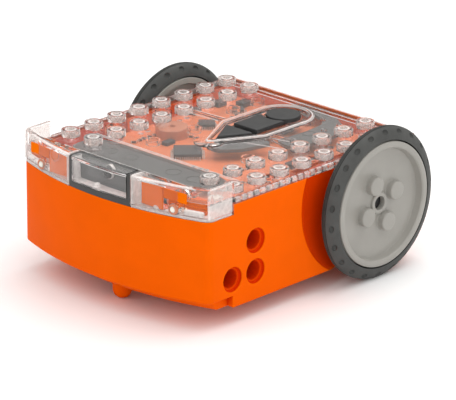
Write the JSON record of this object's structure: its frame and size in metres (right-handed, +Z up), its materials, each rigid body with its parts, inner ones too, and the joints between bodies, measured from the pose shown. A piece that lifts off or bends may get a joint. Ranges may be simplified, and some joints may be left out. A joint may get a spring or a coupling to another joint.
{
  "type": "educational coding robot",
  "caption": "Palm-sized two-wheel coding robot with a clear studded top, front sensor windows, shaped buttons, geared motor wheels and brick-compatible pin holes.",
  "frame": {"origin": "on the floor under the middle of the whole robot's bounding box", "axes": "+Z up, the curved sensor front faces -Y, +X is the robot's left-hand side seen from its own driving direction and the side of the nodes called right, both axles lie along X"},
  "size_m": [0.075, 0.0819, 0.0392],
  "materials": {
    "orange_plastic": "satin moulded",
    "clear_plastic": "clear moulded, polished",
    "grey_insert": "fine matt moulded",
    "board": "solder-masked board",
    "chip_black": "moulded chip package",
    "button_grey": "soft matt",
    "amber_lens": "tinted clear lens",
    "pale_lens": "water-clear lens",
    "red_lens": "tinted clear lens",
    "screw_steel": "plated",
    "contact_metal": "nickel plated spring steel",
    "cell_wrap": "printed film over a metal can",
    "motor_steel": "plated can",
    "gear_plastic": "natural moulded",
    "axle_plastic": "moulded",
    "rim_grey": "fine satin moulded",
    "tyre_rubber": "soft matt rubber"
  },
  "bodies": {
    "housing": {"bottom_housing": "orange_plastic", "top_cover": "clear_plastic", "sensor_shield": "grey_insert", "rear_plate": "grey_insert", "main_board": "board", "line_sensor_board": "board", "microcontroller": "chip_black", "motor_driver": "chip_black", "memory_chip": "chip_black", "ir_receiver": "chip_black", "buzzer": "chip_black", "triangle_switch": "chip_black", "square_switch": "chip_black", "round_switch": "chip_black", "power_switch": "chip_black", "right_ir_lamp": "amber_lens", "left_ir_lamp": "amber_lens", "right_light_sensor": "pale_lens", "left_light_sensor": "pale_lens", "right_indicator_lamp": "pale_lens", "left_indicator_lamp": "pale_lens", "line_sensor_receiver": "pale_lens", "line_sensor_lamp": "red_lens", "case_screw_1": "screw_steel", "case_screw_2": "screw_steel", "case_screw_3": "screw_steel", "case_screw_4": "screw_steel", "case_screw_5": "screw_steel", "right_gear_pin": "screw_steel", "left_gear_pin": "screw_steel", "battery_contacts_front": "contact_metal", "battery_contacts_rear": "contact_metal", "battery_1": "cell_wrap", "battery_2": "cell_wrap", "battery_3": "cell_wrap", "battery_4": "cell_wrap", "right_motor": "motor_steel", "left_motor": "motor_steel"},
    "right_wheel": {"right_rim": "rim_grey", "right_tyre": "tyre_rubber", "right_axle": "axle_plastic", "right_output_gear": "gear_plastic"},
    "left_wheel": {"left_rim": "rim_grey", "left_tyre": "tyre_rubber", "left_axle": "axle_plastic", "left_output_gear": "gear_plastic"},
    "right_middle_gear": {"right_compound_gear": "gear_plastic"},
    "left_middle_gear": {"left_compound_gear": "gear_plastic"},
    "right_motor_rotor": {"right_motor_shaft": "screw_steel", "right_motor_pinion": "gear_plastic"},
    "left_motor_rotor": {"left_motor_shaft": "screw_steel", "left_motor_pinion": "gear_plastic"},
    "triangle_key": {"triangle_button": "button_grey"},
    "square_key": {"square_button": "button_grey"},
    "round_key": {"round_button": "button_grey"},
    "switch_slider": {"power_switch_knob": "button_grey"},
    "door": {"battery_door": "orange_plastic"},
    "skid_peg": {"skid": "orange_plastic"}
  },
  "joints": [
    {"name": "right_wheel_spin", "type": "hinge", "parent": "housing", "child": "right_wheel", "pos_m": [0, 0.0213, 0.0196], "axis": [1, 0, 0], "continuous": true},
    {"name": "left_wheel_spin", "type": "hinge", "parent": "housing", "child": "left_wheel", "pos_m": [0, 0.0213, 0.0196], "axis": [1, 0, 0], "continuous": true},
    {"name": "right_middle_gear_spin", "type": "hinge", "parent": "housing", "child": "right_middle_gear", "pos_m": [0, 0.02647, 0.01298], "axis": [1, 0, 0], "continuous": true},
    {"name": "right_motor_spin", "type": "hinge", "parent": "housing", "child": "right_motor_rotor", "pos_m": [0, 0.03055, 0.02032], "axis": [1, 0, 0], "continuous": true},
    {"name": "left_middle_gear_spin", "type": "hinge", "parent": "housing", "child": "left_middle_gear", "pos_m": [0, 0.02647, 0.01298], "axis": [1, 0, 0], "continuous": true},
    {"name": "left_motor_spin", "type": "hinge", "parent": "housing", "child": "left_motor_rotor", "pos_m": [0, 0.03055, 0.02032], "axis": [1, 0, 0], "continuous": true},
    {"name": "triangle_button_press", "type": "slide", "parent": "housing", "child": "triangle_key", "axis": [0, 0, -1], "range_m": [0, 0.0007], "stiffness_N_per_m": 400, "springref_m": -0.0002},
    {"name": "square_button_press", "type": "slide", "parent": "housing", "child": "square_key", "axis": [0, 0, -1], "range_m": [0, 0.0007], "stiffness_N_per_m": 400, "springref_m": -0.0002},
    {"name": "round_button_press", "type": "slide", "parent": "housing", "child": "round_key", "axis": [0, 0, -1], "range_m": [0, 0.0007], "stiffness_N_per_m": 400, "springref_m": -0.0002},
    {"name": "power_switch_slide", "type": "slide", "parent": "housing", "child": "switch_slider", "axis": [1, 0, 0], "range_m": [0, 0.002]},
    {"name": "battery_door_swing", "type": "hinge", "parent": "housing", "child": "door", "pos_m": [0, -0.0256, 0.0049], "axis": [-1, 0, 0], "range_deg": [0, 75]},
    {"name": "skid_pull_out", "type": "slide", "parent": "housing", "child": "skid_peg", "axis": [0, 0, -1], "range_m": [0, 0.0088]}
  ],
  "couplings": [
    {"joint": "right_middle_gear_spin", "follows": "right_wheel_spin", "ratio": -1.8},
    {"joint": "right_motor_spin", "follows": "right_wheel_spin", "ratio": 3.24},
    {"joint": "left_middle_gear_spin", "follows": "left_wheel_spin", "ratio": -1.8},
    {"joint": "left_motor_spin", "follows": "left_wheel_spin", "ratio": 3.24}
  ]
}
